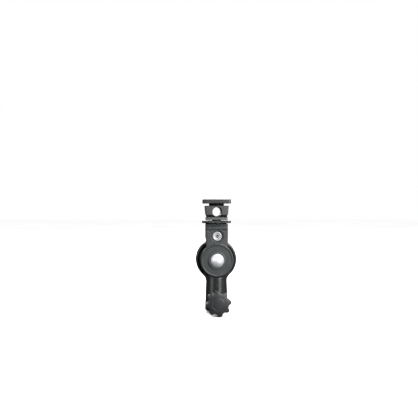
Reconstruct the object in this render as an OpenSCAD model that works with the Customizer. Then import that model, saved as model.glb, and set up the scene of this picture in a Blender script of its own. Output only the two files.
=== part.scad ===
// Umbrella swivel bracket: a stand socket with a star knob, a friction tilt joint
// clamped by a ratchet lever, and a swivelling head with an umbrella hole and a cold shoe.
// +Z is up along the socket's bore, the tilt axis runs along Y and the front is -Y.
// The origin is the centre of the socket's mouth. All sizes are in millimetres.

/* [Socket] */
// Bore that takes a 16 mm stand stud
socket_bore_d = 16.5; // [16.3:0.1:16.8]
// Depth of the bore
socket_depth = 32; // [28:1:33]
// Outer diameter of the socket at its mouth
mouth_d = 24.2; // [23.8:0.1:25]
// Outer diameter of the neck below the joint
neck_d = 21.8; // [21:0.1:22.6]

/* [Tilt joint] */
// Height of the tilt axis above the socket's mouth
pivot_z = 53; // [52:1:58]
// Diameter of the fixed cheek
cheek_d = 43; // [42.6:0.1:43.2]
// Thickness of the fixed cheek
cheek_t = 11; // [10.6:0.1:11.4]
// Diameter of the arm's disc
disc_d = 34; // [33.4:0.1:34.6]
// Thickness of the friction disc between the two faces
friction_t = 1.2; // [1:0.1:1.4]
// Diameter of the pivot bolt's shank
pivot_d = 8; // [8:0.1:8.2]
// Diameter of the pivot bolt's domed head
pivot_head_d = 14; // [13.5:0.1:15]

/* [Arm] */
// Width of the arm
arm_w = 22.5; // [22:0.1:23]
// Height of the arm's top above the tilt axis
arm_top = 37.8; // [37.4:0.1:37.9]
// Diameter of the head's stud and of the screw that captures it
stud_d = 9.44; // [9.3:0.02:9.5]

/* [Head] */
// Diameter of the knurled lock wheel
wheel_d = 30.6; // [29:0.1:32]
// Diameter of the hole for the umbrella's shaft
umbrella_d = 9.6; // [9.2:0.1:9.6]
// Length of the cold shoe along X
shoe_l = 28.6; // [28:0.1:32]
// Width of the channel that takes a flash foot
shoe_channel_w = 18.8; // [18.6:0.1:19]

/* [Clamps] */
// Overall diameter of the star knob
knob_d = 26; // [24:0.1:27]
// Height of the star knob's axis above the mouth
knob_z = 11.7; // [11.2:0.1:13]
// Length of the lever from its axis to its tip
lever_l = 50; // [42:1:52]

/* [Hidden] */
$fn = 96;
eps = 0.01;

cast_black = [0.10, 0.10, 0.11];
cast_grey = [0.33, 0.35, 0.36];
moulded = [0.13, 0.13, 0.14];
rubber = [0.05, 0.05, 0.05];
steel = [0.78, 0.79, 0.80];
brass = [0.72, 0.60, 0.34];
nylon = [0.86, 0.85, 0.80];

// Joint stack along Y
face_y = friction_t / 2;              // faces stand this far from the joint's middle plane
cheek_back = face_y + cheek_t;
back_boss_t = 0.8;
back_boss_y = cheek_back + back_boss_t;
disc_front = -10.4;                   // front of the disc's raised lip
disc_face = -9.7;                     // face inside the lip
lip_w = 1.7;
swing_gap = 0.8;                      // room between the arm's disc and the neck
bore_gap = 0.05;                      // radial room in a running or threaded bore
touch_gap = 0.05;                     // room between faces that slide on each other

// Arm block, heights above the tilt axis
block_front = -9.2;
block_back = 9.4;
shoulder_h = cheek_d / 2 + 0.7;       // underside of the block behind the joint
grooves = [[31.3, 1.3, 0.7], [35.2, 0.6, 0.35]];   // height, width and depth of each line
lock_h = 24.8;                        // height of the screw that captures the stud
stud_r = stud_d / 2;
stud_foot = shoulder_h + 0.9;
dog_r = 1;
stud_groove = [lock_h - dog_r - touch_gap, lock_h + dog_r + touch_gap];
stud_waist_r = 3.4;
tapped_r = stud_r + bore_gap;

// Head, heights above the tilt axis
swivel_washer_t = 0.5;
wheel_h = arm_top + touch_gap + swivel_washer_t;
wheel_t = 2.35;
plate_h = 41.6;
plate_t = 2.8;
pad_h = plate_h + plate_t;
pad_t = 2.3;
block_h = pad_h + pad_t;
block_t = 9.7;
umbrella_h = 50.1;
umbrella_lead = 0.5;                  // chamfer at both ends of the umbrella's hole
spacer_h = block_h + block_t;
spacer_t = 2.4;
shoe_h = spacer_h + spacer_t;
shoe_t = 4.1;
shoe_w = 22.8;
shoe_floor = 1.2;
shoe_channel_t = 2.1;
shoe_mouth_w = 12.6;
head_depth = 18.6;
head_screw_x = 8.2;
head_screw_y = 6.4;
shoe_screw_x = 6.6;
shoe_screw_bite = 3;                  // how deep the shoe's screws reach into the block
m25_r = 1.25;
m5_r = 2.5;
umbrella_tip_x = umbrella_d / 2 + 0.15;
umbrella_tip_t = 1.2;
umbrella_screw_x = umbrella_tip_x + umbrella_tip_t + touch_gap;
umbrella_screw_l = 5;

// Stand clamp along Y, outwards from the bore
pad_tip_y = -(socket_bore_d / 2 + 0.15);
pad_disc_t = 1.2;
boss_y = -15.5;
boss_r = 7.4;
insert_r = 5.2;
insert_l = 6.2;
m8_r = 4;
m8_pitch = 1.25;
knob_back = -18;
knob_hub_l = 1.2;
knob_t = 9.6;
knob_lobes = 8;

// Lever stack along Y, outwards from the cheek
washer_t = 1.2;
cone_y = back_boss_y + washer_t;
cone_t = 1.4;
nut_y = cone_y + cone_t + touch_gap;
nut_l = 9.8;
nut_flange_t = 0.8;
nut_teeth = 20;
nut_teeth_y = nut_y + 4;              // the teeth end here, and a smaller plain hub goes on
nut_r = 5.6;
nut_root_r = 5;
nut_thread_l = 6;
hub_y = nut_y + nut_flange_t + 0.1;
hub_r = 9.6;
web_y = nut_y + nut_l + touch_gap;
web_t = 1.8;
spring_y = web_y + web_t;
spring_l = 7;
screw_head_y = spring_y + spring_l;
screw_head_t = 2;
hub_end = screw_head_y + screw_head_t + 0.6;

// ---------- helpers ----------

// Cylinder along +Y from y0, on the line through (0, z)
module rod_y(r, y0, l, z = 0, r2 = -1) {
    translate([0, y0, z])
        rotate([-90, 0, 0])
            cylinder(r1 = r, r2 = r2 < 0 ? r : r2, h = l);
}

// Ring along +Y from y0
module ring_y(r_in, r_out, y0, l, z) {
    difference() {
        rod_y(r_out, y0, l, z);
        rod_y(r_in, y0 - 1, l + 2, z);
    }
}

// Extrudes an XZ outline between two Y planes
module slab_y(y0, y1) {
    translate([0, y1, 0])
        rotate([90, 0, 0])
            linear_extrude(y1 - y0)
                children();
}

// Turned profile about the line along Y through (0, z); local y of the outline runs along +Y
module turned_y(z = 0) {
    translate([0, 0, z])
        rotate([-90, 0, 0])
            rotate_extrude()
                children();
}

// Half outline of a disc from y0 to y1 whose rim is rounded at y0, at y1 or at both
module disc_outline(r, y0, y1, round0 = 0, round1 = 0) {
    lo = y0 + round0;
    hi = y1 - round1;
    translate([0, lo]) square([r, hi - lo]);
    if (round0 > 0) {
        translate([0, y0]) square([r - round0, round0 + eps]);
        intersection() {
            translate([r - round0, lo]) circle(round0);
            translate([0, y0 - 1]) square([r, round0 + 1 + eps]);
        }
    }
    if (round1 > 0) {
        translate([0, hi - eps]) square([r - round1, round1 + eps]);
        intersection() {
            translate([r - round1, hi]) circle(round1);
            translate([0, hi - eps]) square([r, round1 + 1]);
        }
    }
}

// Half outline of a threaded rod: V grooves of the given pitch
module thread_outline(r, l, pitch, depth) {
    turns = floor(l / pitch);
    polygon(concat(
        [[0, 0], [r - depth, 0]],
        [for (i = [0 : turns - 1], k = [0, 1])
            [k == 0 ? r - depth : r, (i + 0.1 + 0.5 * k) * pitch]],
        [[r - depth, turns * pitch], [r - depth, l], [0, l]]
    ));
}

// Rounded rectangle centred on the origin
module rounded_plate(w, d, r) {
    hull_x = w / 2 - r;
    hull_y = d / 2 - r;
    square([w, 2 * hull_y], center = true);
    square([2 * hull_x, d], center = true);
    for (sx = [-1, 1], sy = [-1, 1])
        translate([sx * hull_x, sy * hull_y]) circle(r);
}

// Ring of straight teeth
module toothed(teeth, r_tip, r_root, phase = 0) {
    polygon([for (i = [0 : 2 * teeth - 1])
        let (a = 180 * i / teeth + phase, r = i % 2 == 0 ? r_tip : r_root)
        [r * cos(a), r * sin(a)]]);
}

module on_pivot() {
    translate([0, 0, pivot_z]) children();
}

// Four screw places of the head
module at_head_screws() {
    for (sx = [-1, 1], sy = [-1, 1])
        translate([sx * head_screw_x, sy * head_screw_y, 0]) children();
}

// Along +X from x, at the height of the umbrella's hole
module along_umbrella_screw(x) {
    translate([x, 0, umbrella_h]) rotate([0, 90, 0]) children();
}

module at_shoe_screws() {
    for (sx = [-1, 1])
        translate([sx * shoe_screw_x, 0, 0]) children();
}

// ---------- base ----------

module neck_outline() {
    mouth_r = mouth_d / 2;
    round_r = 2;
    taper_top = 34;
    neck_top = pivot_z - 6;
    polygon([
        [0, 0], [mouth_r - round_r, 0], [mouth_r, round_r],
        [neck_d / 2, taper_top], [neck_d / 2, neck_top], [0, neck_top]
    ]);
    translate([mouth_r - round_r, round_r]) circle(round_r);
}

module base_solid() {
    rotate_extrude() neck_outline();
    turned_y(pivot_z) disc_outline(cheek_d / 2, face_y, cheek_back, 2.3, 1);
    rod_y(11.5, cheek_back - eps, back_boss_t + eps, pivot_z);
    turned_y(knob_z) disc_outline(boss_r, boss_y, -6, 0.8);
}

module base_casting() {
    lead_in = 0.4;
    bore_r = socket_bore_d / 2;
    back_recess = [12.8, 18.6, 1.3];   // inner radius, outer radius and depth
    front_recess = [16.9, 19.1, 1.6];
    color(cast_black) difference() {
        base_solid();
        translate([0, 0, -1]) cylinder(r = bore_r, h = socket_depth + 1);
        translate([0, 0, -eps]) cylinder(r1 = bore_r + lead_in, r2 = bore_r, h = lead_in);
        rod_y(disc_d / 2 + swing_gap, -30, 30 + face_y, pivot_z);
        rod_y(6, 0, 20, pivot_z);
        rod_y(m8_r + 0.2, -20, 20, knob_z);
        rod_y(insert_r, boss_y - 1, insert_l + 1, knob_z);
        ring_y(back_recess[0], back_recess[1], cheek_back - back_recess[2], 5, pivot_z);
        ring_y(front_recess[0], front_recess[1], 0, face_y + front_recess[2], pivot_z);
    }
}

module knob_thread_insert() {
    color(brass) difference() {
        turned_y(knob_z) difference() {
            disc_outline(insert_r, boss_y - 0.3, boss_y + insert_l, 0.3);
            for (k = [0 : 2])
                translate([insert_r, boss_y + 1.4 + 1.6 * k]) circle(0.3, $fn = 24);
        }
        rod_y(m8_r + bore_gap, boss_y - 2, insert_l + 4, knob_z);
    }
}

module pivot_bush() {
    color(nylon) difference() {
        rod_y(6, face_y + 0.1, cheek_back + back_boss_t - face_y - 0.1, pivot_z);
        rod_y(pivot_d / 2 + bore_gap, 0, 20, pivot_z);
    }
}

module friction_disc() {
    color(rubber) difference() {
        rod_y(16.6, -face_y + touch_gap, friction_t - touch_gap, pivot_z);
        rod_y(pivot_d / 2 + 0.6, -5, 10, pivot_z);
    }
}

module thrust_washer() {
    color(steel) difference() {
        turned_y(pivot_z) disc_outline(9.4, back_boss_y, back_boss_y + washer_t, 0.2, 0.3);
        rod_y(pivot_d / 2 + 0.3, 0, 30, pivot_z);
    }
}

// Disc spring: a flat cone between the washer and the lever's nut
module spring_washer() {
    sheet_t = 0.8;
    hole_r = pivot_d / 2 + 0.25;
    rim_r = 8;
    color(steel) turned_y(pivot_z)
        polygon([
            [rim_r, cone_y], [rim_r, cone_y + sheet_t],
            [hole_r, cone_y + cone_t], [hole_r, cone_y + cone_t - sheet_t]
        ]);
}

// ---------- stand clamp ----------

module stand_pad() {
    color(brass) union() {
        turned_y(knob_z)
            disc_outline(3.8, pad_tip_y - pad_disc_t, pad_tip_y, 0, 0.3);
        rod_y(1.4, pad_tip_y - 3.2, 2.4, knob_z);
    }
}

module stand_screw() {
    tip_y = pad_tip_y - pad_disc_t - touch_gap;
    thread_l = 11.25;
    color(steel) difference() {
        union() {
            translate([0, tip_y, knob_z]) rotate([90, 0, 0])
                rotate_extrude() thread_outline(m8_r, thread_l, m8_pitch, 0.6);
            rod_y(5.2, knob_back - 7, 5.5, knob_z);
        }
        rod_y(1.5, tip_y - 2.4, 5, knob_z);
    }
}

module star_outline(scale_r) {
    waist_r = knob_d / 2 * 0.83 * scale_r;
    lobe_r = 2.9 * scale_r;
    centre_r = knob_d / 2 * scale_r - lobe_r;
    difference() {
        union() {
            circle(waist_r);
            for (i = [0 : knob_lobes - 1])
                rotate(360 * i / knob_lobes + 7) translate([centre_r, 0]) circle(lobe_r);
        }
        for (i = [0 : knob_lobes - 1])
            rotate(360 * (i + 0.5) / knob_lobes + 7)
                translate([waist_r + 2.9 * scale_r, 0]) circle(3.1 * scale_r);
    }
}

module star_knob() {
    wheel_back = knob_back - knob_hub_l;
    rim = 1.2;
    color(moulded) difference() {
        union() {
            rod_y(7, wheel_back - eps, knob_hub_l + eps, knob_z);
            translate([0, 0, knob_z]) {
                slab_y(wheel_back - knob_t + rim, wheel_back) star_outline(1);
                slab_y(wheel_back - knob_t, wheel_back - knob_t + rim + eps) star_outline(0.94);
            }
        }
        rod_y(5.2, knob_back - 7, 5.5, knob_z);
        rod_y(m8_r, knob_back - 7, 8, knob_z);
    }
}

// ---------- lever ----------

module lever_insert() {
    hub_radius = nut_root_r - 0.1;
    color(steel) difference() {
        union() {
            rod_y(6.6, nut_y, nut_flange_t, pivot_z);
            rod_y(hub_radius, nut_y, nut_l, pivot_z);
            translate([0, 0, pivot_z])
                slab_y(nut_y, nut_teeth_y) toothed(nut_teeth, nut_r, nut_root_r);
        }
        rod_y(pivot_d / 2 + bore_gap, nut_y - 1, nut_thread_l + 1, pivot_z);
        rod_y(m5_r, nut_y + nut_thread_l + 0.6, nut_l, pivot_z);
    }
}

module lever_screw() {
    slot_w = 1.2;
    slot_t = 0.9;
    foot_y = nut_y + nut_thread_l + 0.8;
    color(steel) difference() {
        union() {
            rod_y(m5_r, foot_y, screw_head_y - foot_y + eps, pivot_z);
            turned_y(pivot_z)
                disc_outline(4.7, screw_head_y, screw_head_y + screw_head_t, 0, 0.7);
        }
        translate([-6, screw_head_y + screw_head_t - slot_t, pivot_z - slot_w / 2])
            cube([12, 2, slot_w]);
    }
}

// One closed sweep of a round wire along a helix about Y
module lever_spring() {
    wire_r = 0.38;
    coil_r = 3.9;
    turns = 3.5;
    sides = 8;
    rings = 70;
    end_gap = wire_r + 0.04;
    rise = spring_l - 2 * end_gap;
    function centre(i) = let (t = i / (rings - 1), a = 360 * turns * t)
        [coil_r * cos(a), spring_y + end_gap + rise * t, pivot_z + coil_r * sin(a)];
    function ring(i) = let (t = i / (rings - 1), a = 360 * turns * t, c = centre(i))
        [for (k = [0 : sides - 1]) let (b = 360 * k / sides)
            c + wire_r * (cos(b) * [cos(a), 0, sin(a)] + sin(b) * [0, 1, 0])];
    points = [for (i = [0 : rings - 1]) each ring(i)];
    walls = [for (i = [0 : rings - 2], k = [0 : sides - 1])
        let (n = (k + 1) % sides)
        [i * sides + k, (i + 1) * sides + k, (i + 1) * sides + n, i * sides + n]];
    caps = [
        [for (k = [0 : sides - 1]) k],
        [for (k = [sides - 1 : -1 : 0]) (rings - 1) * sides + k]
    ];
    color(steel) polyhedron(points, concat(walls, caps));
}

module lever_handle() {
    grip_y = hub_y + 13;
    tip_y = hub_y + 19;
    neck_r = 5.6;
    tip_r = 6.2;
    tooth_gap = 0.15;
    color(moulded) difference() {
        union() {
            turned_y(pivot_z) disc_outline(hub_r, hub_y, hub_end, 0.8, 1.2);
            on_pivot() {
                hull() {
                    translate([0, hub_y + 7, -4]) sphere(6.6, $fn = 28);
                    translate([0, grip_y, -20]) scale([1, 0.72, 1]) sphere(neck_r, $fn = 28);
                }
                hull() {
                    translate([0, grip_y, -20]) scale([1, 0.72, 1]) sphere(neck_r, $fn = 28);
                    translate([0, tip_y, tip_r - lever_l])
                        scale([1, 0.66, 1]) sphere(tip_r, $fn = 28);
                }
            }
        }
        translate([0, 0, pivot_z]) slab_y(hub_y - 2, nut_teeth_y + touch_gap)
            toothed(nut_teeth, nut_r + tooth_gap, nut_root_r + tooth_gap);
        rod_y(nut_root_r + tooth_gap, hub_y, web_y - hub_y, pivot_z);
        rod_y(m5_r + 0.4, hub_y, 20, pivot_z);
        rod_y(5.1, spring_y, 20, pivot_z);
    }
}

// ---------- arm ----------

module arm_side_outline() {
    edge = 0.6;
    polygon([
        [block_front, 0], [-face_y, 0], [-face_y, shoulder_h],
        [block_back - edge, shoulder_h], [block_back, shoulder_h + edge],
        [block_back, arm_top - edge], [block_back - edge, arm_top],
        [block_front + edge, arm_top], [block_front, arm_top - edge]
    ]);
}

module tilt_arm() {
    square_neck = pivot_d + 0.1;
    color(cast_grey) on_pivot() difference() {
        union() {
            translate([-arm_w / 2, 0, 0]) rotate([90, 0, 90])
                linear_extrude(arm_w) arm_side_outline();
            turned_y() disc_outline(disc_d / 2, disc_front, -face_y, 0.7);
        }
        rod_y(disc_d / 2 - lip_w, disc_front - 1, disc_face - disc_front + 1);
        rod_y(pivot_d / 2 + bore_gap, -20, 25);
        translate([-square_neck / 2, disc_face - 1, -square_neck / 2])
            cube([square_neck, 5, square_neck]);
        for (g = grooves, y = [block_front - 1, block_back - g[2]])
            translate([-arm_w / 2 - 1, y, g[0] - g[1] / 2])
                cube([arm_w + 2, g[2] + 1, g[1]]);
        translate([0, 0, stud_foot - 0.1]) cylinder(r = tapped_r, h = 20);
        rod_y(tapped_r, block_front - 1, -block_front - 3, lock_h);
        rod_y(6.4, block_front - 1, 1.9, lock_h);
    }
}

module pivot_bolt() {
    seat_y = disc_face - washer_t;
    dome_t = 4.4;
    rim_t = 0.9;
    head_r = pivot_head_d / 2;
    dome_r = (head_r * head_r + pow(dome_t - rim_t, 2)) / (2 * (dome_t - rim_t));
    end_y = nut_y + nut_thread_l - 0.4;
    thread_l = 11.25;
    square_w = pivot_d - 0.1;
    dome_steps = 14;
    dome_angle = asin(head_r / dome_r);
    color(steel) on_pivot() {
        translate([0, seat_y - dome_t, 0]) rotate([-90, 0, 0]) rotate_extrude() polygon(concat(
            [for (i = [0 : dome_steps]) let (a = dome_angle * i / dome_steps)
                [dome_r * sin(a), dome_r * (1 - cos(a))]],
            [[head_r, dome_t], [0, dome_t]]
        ));
        translate([-square_w / 2, seat_y - eps, -square_w / 2])
            cube([square_w, washer_t + 3.4, square_w]);
        rod_y(pivot_d / 2, seat_y, end_y - thread_l - seat_y + eps);
        translate([0, end_y - thread_l, 0]) rotate([-90, 0, 0])
            rotate_extrude() thread_outline(pivot_d / 2, thread_l, m8_pitch, 0.6);
    }
}

module pivot_washer() {
    hole = pivot_d + 0.2;
    color(cast_grey) on_pivot() difference() {
        turned_y() disc_outline(9.1, disc_face - washer_t, disc_face, 0.4);
        translate([-hole / 2, disc_face - washer_t - 1, -hole / 2]) cube([hole, 4, hole]);
    }
}

module stud_lock_screw() {
    face = block_front + 0.1;
    foot = -tapped_r - 0.15;
    dog_end = -stud_waist_r - 0.15;
    dish = [3.2, 0.4];
    socket_w = 3;
    color(steel) on_pivot() difference() {
        union() {
            turned_y(lock_h) disc_outline(stud_r, face, foot, 0.6, 0.4);
            rod_y(dog_r, foot - eps, dog_end - foot + eps, lock_h);
        }
        rod_y(dish[0], face - eps, dish[1] + eps, lock_h, r2 = dish[0] - dish[1]);
        translate([0, 0, lock_h]) slab_y(face - 1, face + 2)
            circle(d = socket_w / cos(30), $fn = 6);
    }
}

// ---------- head ----------

// Plain foot with a groove for the lock screw's dog, threaded above the arm
module head_stud() {
    thread_pitch = 1.5;
    top = pad_h - 0.1;
    thread_l = top - arm_top;
    foot_edge = 0.3;
    color(steel) on_pivot() union() {
        rotate_extrude() polygon([
            [0, stud_foot], [stud_r - foot_edge, stud_foot], [stud_r, stud_foot + foot_edge],
            [stud_r, stud_groove[0]], [stud_waist_r, stud_groove[0]],
            [stud_waist_r, stud_groove[1]], [stud_r, stud_groove[1]],
            [stud_r, arm_top - 0.5], [stud_r - 0.5, arm_top], [0, arm_top]
        ]);
        translate([0, 0, arm_top - eps]) rotate_extrude()
            thread_outline(stud_r, thread_l, thread_pitch, 0.5);
    }
}

module swivel_washer() {
    color(nylon) on_pivot() translate([0, 0, arm_top + touch_gap]) difference() {
        cylinder(r = 9.2, h = swivel_washer_t);
        translate([0, 0, -1]) cylinder(r = stud_r + 0.3, h = 3);
    }
}

module lock_wheel() {
    teeth = 64;
    color(cast_black) on_pivot() difference() {
        translate([0, 0, wheel_h]) {
            linear_extrude(wheel_t) toothed(teeth, wheel_d / 2, wheel_d / 2 - 0.55);
        }
        translate([0, 0, wheel_h - 1]) cylinder(r = tapped_r, h = wheel_t + 2);
        translate([0, 0, wheel_h + wheel_t - 0.4]) difference() {
            cylinder(r = 13.2, h = 1);
            translate([0, 0, -1]) cylinder(r = 9, h = 3);
        }
    }
}

module swivel_plate() {
    color(cast_black) on_pivot() difference() {
        translate([0, 0, plate_h]) linear_extrude(plate_t)
            rounded_plate(22.3, head_depth, 1.2);
        translate([0, 0, plate_h - 1]) cylinder(r = tapped_r, h = plate_t + 2);
        at_head_screws() {
            translate([0, 0, plate_h - 1]) cylinder(r = m25_r + 0.15, h = plate_t + 2);
            translate([0, 0, plate_h - 1]) cylinder(r = 2.4, h = 2.9);
        }
    }
}

module umbrella_hole() {
    hole_r = umbrella_d / 2;
    wide_r = hole_r + umbrella_lead;
    rod_y(hole_r, -20, 40, umbrella_h);
    rod_y(wide_r, -head_depth / 2, umbrella_lead, umbrella_h, r2 = hole_r);
    rod_y(wide_r, -head_depth / 2 - 1, 1, umbrella_h);
    rod_y(hole_r, head_depth / 2 - umbrella_lead, umbrella_lead, umbrella_h, r2 = wide_r);
    rod_y(wide_r, head_depth / 2, 1, umbrella_h);
}

module grip_pad() {
    color(rubber) on_pivot() difference() {
        translate([0, 0, pad_h]) linear_extrude(pad_t) rounded_plate(21.4, head_depth - 0.8, 1.2);
        umbrella_hole();
        at_head_screws() translate([0, 0, pad_h - 1]) cylinder(r = m25_r + 0.15, h = 5);
    }
}

module umbrella_block() {
    foot_w = 22.6;
    top_w = 24.4;
    edge = 0.5;
    color(cast_black) on_pivot() difference() {
        slab_y(-head_depth / 2, head_depth / 2) polygon([
            [-foot_w / 2, block_h], [foot_w / 2, block_h],
            [top_w / 2, spacer_h - edge], [top_w / 2 - edge, spacer_h],
            [edge - top_w / 2, spacer_h], [-top_w / 2, spacer_h - edge]
        ]);
        umbrella_hole();
        along_umbrella_screw(0) cylinder(r = m5_r + bore_gap, h = top_w);
        at_head_screws() translate([0, 0, block_h - 1]) cylinder(r = m25_r, h = 6.6);
        at_shoe_screws() translate([0, 0, spacer_h - shoe_screw_bite - 0.2])
            cylinder(r = m25_r, h = 7);
    }
}

// Nylon tip that the set screw presses on the umbrella's shaft
module umbrella_tip() {
    color(nylon) on_pivot() union() {
        along_umbrella_screw(umbrella_tip_x) cylinder(r = 1.9, h = umbrella_tip_t);
        along_umbrella_screw(umbrella_tip_x) cylinder(r = 0.8, h = umbrella_tip_t + 1.4);
    }
}

module umbrella_screw() {
    pocket_l = 1.7;
    socket_w = 2.5;
    socket_l = 2.2;
    color(steel) on_pivot() difference() {
        along_umbrella_screw(umbrella_screw_x) rotate_extrude()
            thread_outline(m5_r, umbrella_screw_l, 0.8, 0.35);
        along_umbrella_screw(umbrella_screw_x - 1) cylinder(r = 0.9, h = pocket_l + 1);
        along_umbrella_screw(umbrella_screw_x + umbrella_screw_l - socket_l)
            cylinder(d = socket_w / cos(30), h = 5, $fn = 6);
    }
}

module head_screws() {
    head_t = 1.7;
    shank_l = 8;
    color(steel) on_pivot() at_head_screws() difference() {
        union() {
            translate([0, 0, plate_h + 0.2]) cylinder(r = 2.2, h = head_t);
            translate([0, 0, plate_h + 0.2 + head_t - eps]) cylinder(r = m25_r, h = shank_l);
        }
        translate([0, 0, plate_h]) cylinder(d = 2.2 / cos(30), h = 1.2, $fn = 6);
    }
}

module shoe_spacer() {
    color(moulded) on_pivot() difference() {
        translate([0, 0, spacer_h]) cylinder(r = 7.95, h = spacer_t);
        at_shoe_screws() translate([0, 0, spacer_h - 1]) cylinder(r = m25_r, h = 5);
    }
}

// Rounded plate with a T-slot along X, closed by a stop at -X
module cold_shoe() {
    stop_x = 2;
    slot_x = stop_x - shoe_l / 2;
    color(cast_black) on_pivot() difference() {
        translate([0, 0, shoe_h]) linear_extrude(shoe_t) rounded_plate(shoe_l, shoe_w, 2.6);
        translate([slot_x, -shoe_channel_w / 2, shoe_h + shoe_floor])
            cube([shoe_l, shoe_channel_w, shoe_channel_t]);
        translate([slot_x, -shoe_mouth_w / 2, shoe_h + shoe_floor])
            cube([shoe_l, shoe_mouth_w, shoe_t]);
        at_shoe_screws() {
            translate([0, 0, shoe_h - 1]) cylinder(r = m25_r, h = 4);
            translate([0, 0, shoe_h + 0.2])
                cylinder(r1 = m25_r, r2 = 2.35, h = shoe_floor - 0.2 + eps);
        }
    }
}

// Two bowed fingers under the lips, joined by a bar against the stop
module shoe_spring() {
    sheet_t = 0.35;
    bow = 0.9;
    half_l = 10;
    bow_r = (half_l * half_l + bow * bow) / (2 * bow);
    floor_h = shoe_h + shoe_floor;
    bar_x = 3 - shoe_l / 2;
    color(steel) on_pivot() {
        for (side = [-1, 1]) intersection() {
            slab_y(side * 7.9 - 1.2, side * 7.9 + 1.2) difference() {
                translate([0, floor_h + bow + sheet_t - bow_r]) circle(bow_r);
                translate([0, floor_h + bow - bow_r]) circle(bow_r);
            }
            translate([-half_l - 1, -12, floor_h]) cube([2 * half_l + 2, 24, 3]);
        }
        translate([bar_x, -9.1, floor_h]) cube([3.4, 18.2, sheet_t]);
    }
}

module shoe_screws() {
    floor_h = shoe_h + shoe_floor;
    color(steel) on_pivot() at_shoe_screws() difference() {
        union() {
            translate([0, 0, spacer_h - shoe_screw_bite])
                cylinder(r = m25_r, h = shoe_screw_bite + spacer_t + 0.9);
            translate([0, 0, shoe_h + 0.25])
                cylinder(r1 = m25_r, r2 = 2.3, h = shoe_floor - 0.25);
        }
        for (turn = [0, 90])
            translate([0, 0, floor_h - 0.6]) rotate(turn)
                translate([-1.3, -0.3, 0]) cube([2.6, 0.6, 2]);
    }
}

base_casting();
knob_thread_insert();
pivot_bush();
friction_disc();
thrust_washer();
spring_washer();
stand_pad();
stand_screw();
star_knob();
lever_insert();
lever_screw();
lever_spring();
lever_handle();
tilt_arm();
pivot_bolt();
pivot_washer();
stud_lock_screw();
head_stud();
swivel_washer();
lock_wheel();
swivel_plate();
grip_pad();
umbrella_block();
head_screws();
umbrella_tip();
umbrella_screw();
shoe_spacer();
cold_shoe();
shoe_spring();
shoe_screws();
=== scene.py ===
import math

import bpy
import numpy as np
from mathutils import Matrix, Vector


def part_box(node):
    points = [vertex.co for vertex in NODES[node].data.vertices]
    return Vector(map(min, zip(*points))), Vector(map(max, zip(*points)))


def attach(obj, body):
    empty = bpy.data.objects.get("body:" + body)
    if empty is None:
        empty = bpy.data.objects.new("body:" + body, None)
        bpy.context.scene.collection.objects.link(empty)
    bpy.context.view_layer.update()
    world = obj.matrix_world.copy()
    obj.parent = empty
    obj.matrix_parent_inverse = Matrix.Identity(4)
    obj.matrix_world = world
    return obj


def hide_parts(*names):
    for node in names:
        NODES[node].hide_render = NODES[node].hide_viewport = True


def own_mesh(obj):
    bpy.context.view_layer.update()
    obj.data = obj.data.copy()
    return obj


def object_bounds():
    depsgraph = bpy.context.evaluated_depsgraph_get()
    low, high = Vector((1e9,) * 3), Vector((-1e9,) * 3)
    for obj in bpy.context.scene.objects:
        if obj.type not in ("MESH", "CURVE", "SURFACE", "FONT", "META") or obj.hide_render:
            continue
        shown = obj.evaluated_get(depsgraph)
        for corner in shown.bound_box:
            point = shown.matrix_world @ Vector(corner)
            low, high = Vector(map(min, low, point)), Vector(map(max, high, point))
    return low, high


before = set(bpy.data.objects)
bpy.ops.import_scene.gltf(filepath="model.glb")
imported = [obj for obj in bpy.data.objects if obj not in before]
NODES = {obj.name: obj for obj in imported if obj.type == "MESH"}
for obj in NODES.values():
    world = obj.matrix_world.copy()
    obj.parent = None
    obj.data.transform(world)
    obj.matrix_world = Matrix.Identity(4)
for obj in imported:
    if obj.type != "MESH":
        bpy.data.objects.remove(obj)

CAD_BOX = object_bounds()

# Lengths are in millimetres in the row frame, and meshes are scaled to metres as they are made.
MM = 0.001


def corners(node):
    """Lowest and highest corner of a node, in millimetres."""
    return [np.array(corner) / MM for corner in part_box(node)]


# ---------- sizes taken from the frame ----------

BASE_LO, BASE_HI = corners("base_casting")
ARM_LO, ARM_HI = corners("tilt_arm")
BUSH_LO, BUSH_HI = corners("pivot_bush")
BOLT_LO, BOLT_HI = corners("pivot_bolt")
WASHER_LO, WASHER_HI = corners("pivot_washer")
INSERT_LO, INSERT_HI = corners("knob_thread_insert")
KNOB_LO, KNOB_HI = corners("star_knob")
LEVER_LO, LEVER_HI = corners("lever_handle")
NUT_LO, NUT_HI = corners("lever_insert")
SPRING_LO, _ = corners("lever_spring")
LOCK_LO, LOCK_HI = corners("stud_lock_screw")
STUD_LO, STUD_HI = corners("head_stud")
WHEEL_LO, WHEEL_HI = corners("lock_wheel")
PLATE_LO, PLATE_HI = corners("swivel_plate")
PAD_LO, PAD_HI = corners("grip_pad")
BLOCK_LO, BLOCK_HI = corners("umbrella_block")
SPACER_LO, SPACER_HI = corners("shoe_spacer")
SHOE_LO, SHOE_HI = corners("cold_shoe")
SET_LO, SET_HI = corners("umbrella_screw")
THRUST_LO, _ = corners("thrust_washer")
STAND_LO, STAND_HI = corners("stand_screw")

PIVOT_Z = (BUSH_LO[2] + BUSH_HI[2]) / 2
KNOB_Z = (INSERT_LO[2] + INSERT_HI[2]) / 2
LOCK_Z = (LOCK_LO[2] + LOCK_HI[2]) / 2
SET_Z = (SET_LO[2] + SET_HI[2]) / 2
CHEEK_R = BASE_HI[0]
CHEEK_FRONT = BUSH_LO[1] - 0.1
CHEEK_BOSS_H = 0.8
CHEEK_BACK = THRUST_LO[1] - CHEEK_BOSS_H
DISC_R = ARM_HI[0]
WHEEL_R = WHEEL_HI[0]
BUSH_R = 6
SHANK_R = 4
BORE_GAP = 0.05
TAPPED_R = LOCK_HI[0] + BORE_GAP
M25_R = 1.25
M5_R = 2.5
# Past the object on every side, for cuts that run right through
FAR = 200


# ---------- meshes ----------

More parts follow.
